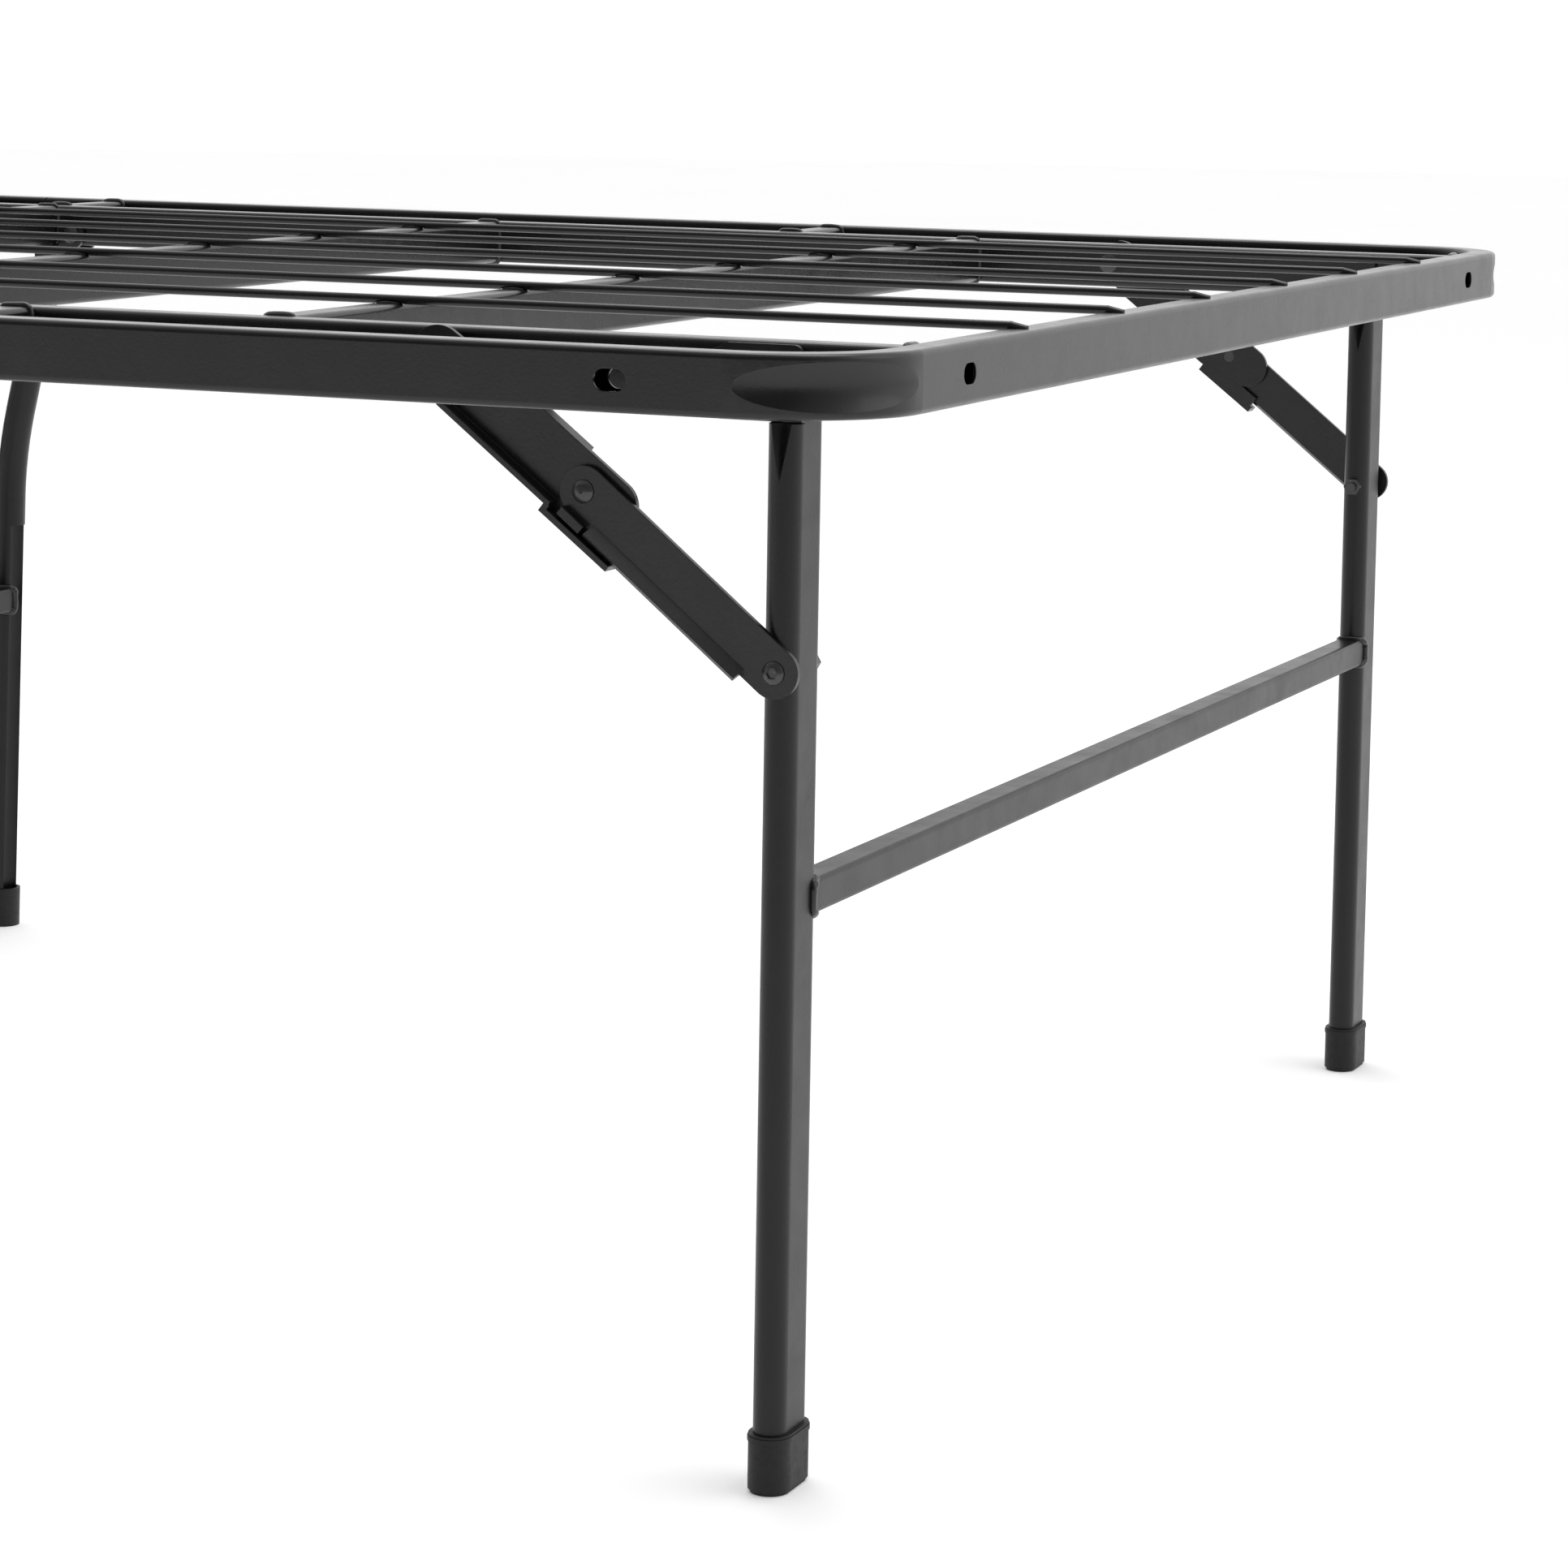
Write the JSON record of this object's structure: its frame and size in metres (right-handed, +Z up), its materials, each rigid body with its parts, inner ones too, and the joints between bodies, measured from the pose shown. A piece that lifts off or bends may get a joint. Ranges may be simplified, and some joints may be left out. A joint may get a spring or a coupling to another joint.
{
  "type": "folding metal bed frame",
  "caption": "Folding steel platform bed frame with a wire deck, braced end legs and bent middle legs on rubber feet.",
  "frame": {"origin": "on the floor under the middle of the bed", "axes": "+X to the foot end, +Y to the left side, +Z up"},
  "size_m": [1.905, 0.99, 0.466],
  "materials": {
    "rail": "satin black powder coat",
    "beam": "satin black powder coat",
    "wire": "satin black powder coat",
    "bracket": "satin black powder coat",
    "leg": "satin black powder coat",
    "brace": "satin black powder coat",
    "rivet": "black coated rivet head",
    "bolt": "black coated bolt",
    "foot_cap": "matt black moulded rubber"
  },
  "bodies": {
    "head_half": {"head_outer_rail": "rail", "head_inner_beam_left": "beam", "head_inner_beam_right": "beam", "head_cross_tube_fold": "beam", "head_cross_tube_middle": "beam", "head_cross_tube_end": "beam", "head_spacer_tubes": "beam", "head_deck_wires": "wire", "head_fold_leaves": "bracket", "head_pivot_rivets": "rivet", "head_brace_top_rivets": "rivet", "fold_pins": "rivet"},
    "head_end_legs": {"head_leg_left": "leg", "head_leg_right": "leg", "head_leg_brackets": "bracket", "head_leg_bar": "leg", "head_leg_feet": "foot_cap", "head_brace_bolts": "bolt", "head_brace_nuts": "bolt"},
    "head_lower_arms": {"head_lower_arm_left": "brace", "head_lower_arm_right": "brace", "head_brace_mid_rivets": "rivet"},
    "head_upper_arms": {"head_upper_arm_left": "brace", "head_upper_arm_right": "brace", "head_brace_top_heads": "rivet"},
    "head_mid_legs": {"head_mid_leg_left": "leg", "head_mid_leg_right": "leg", "head_mid_brackets": "bracket", "head_mid_bar": "leg", "head_mid_feet": "foot_cap"},
    "foot_half": {"foot_outer_rail": "rail", "foot_inner_beam_left": "beam", "foot_inner_beam_right": "beam", "foot_cross_tube_fold": "beam", "foot_cross_tube_middle": "beam", "foot_cross_tube_end": "beam", "foot_spacer_tubes": "beam", "foot_deck_wires": "wire", "foot_fold_leaves": "bracket", "foot_pivot_rivets": "rivet", "foot_brace_top_rivets": "rivet"},
    "foot_end_legs": {"foot_leg_left": "leg", "foot_leg_right": "leg", "foot_leg_brackets": "bracket", "foot_leg_bar": "leg", "foot_leg_feet": "foot_cap", "foot_brace_bolts": "bolt", "foot_brace_nuts": "bolt"},
    "foot_lower_arms": {"foot_lower_arm_left": "brace", "foot_lower_arm_right": "brace", "foot_brace_mid_rivets": "rivet"},
    "foot_upper_arms": {"foot_upper_arm_left": "brace", "foot_upper_arm_right": "brace", "foot_brace_top_heads": "rivet"},
    "foot_mid_legs": {"foot_mid_leg_left": "leg", "foot_mid_leg_right": "leg", "foot_mid_brackets": "bracket", "foot_mid_bar": "leg", "foot_mid_feet": "foot_cap"}
  },
  "joints": [
    {"name": "half_fold", "type": "hinge", "parent": "head_half", "child": "foot_half", "pos_m": [0, 0, 0.461], "axis": [0, -1, 0], "range_deg": [0, 180]},
    {"name": "head_leg_fold", "type": "hinge", "parent": "head_half", "child": "head_end_legs", "pos_m": [-0.8725, 0, 0.4385], "axis": [0, -1, 0], "range_deg": [0, 90]},
    {"name": "head_brace_bolt", "type": "hinge", "parent": "head_end_legs", "child": "head_lower_arms", "pos_m": [-0.8895, 0, 0.328], "axis": [0, -1, 0], "range_deg": [-117.63, 0]},
    {"name": "head_brace_knuckle", "type": "hinge", "parent": "head_lower_arms", "child": "head_upper_arms", "pos_m": [-0.80731, 0, 0.39425], "axis": [0, -1, 0], "range_deg": [0, 167.98]},
    {"name": "head_mid_leg_fold", "type": "hinge", "parent": "head_half", "child": "head_mid_legs", "pos_m": [-0.0675, 0, 0.4385], "axis": [0, 1, 0], "range_deg": [0, 90]},
    {"name": "foot_leg_fold", "type": "hinge", "parent": "foot_half", "child": "foot_end_legs", "pos_m": [0.8725, 0, 0.4385], "axis": [0, 1, 0], "range_deg": [0, 90]},
    {"name": "foot_brace_bolt", "type": "hinge", "parent": "foot_end_legs", "child": "foot_lower_arms", "pos_m": [0.8895, 0, 0.328], "axis": [0, 1, 0], "range_deg": [-117.63, 0]},
    {"name": "foot_brace_knuckle", "type": "hinge", "parent": "foot_lower_arms", "child": "foot_upper_arms", "pos_m": [0.80731, 0, 0.39425], "axis": [0, 1, 0], "range_deg": [0, 167.98]},
    {"name": "foot_mid_leg_fold", "type": "hinge", "parent": "foot_half", "child": "foot_mid_legs", "pos_m": [0.0675, 0, 0.4385], "axis": [0, -1, 0], "range_deg": [0, 90]}
  ],
  "couplings": [
    {"joint": "head_brace_bolt", "follows": "head_leg_fold", "ratio": -1.3071},
    {"joint": "head_brace_knuckle", "follows": "head_leg_fold", "ratio": 1.8664},
    {"joint": "foot_brace_bolt", "follows": "foot_leg_fold", "ratio": -1.3071},
    {"joint": "foot_brace_knuckle", "follows": "foot_leg_fold", "ratio": 1.8664}
  ]
}
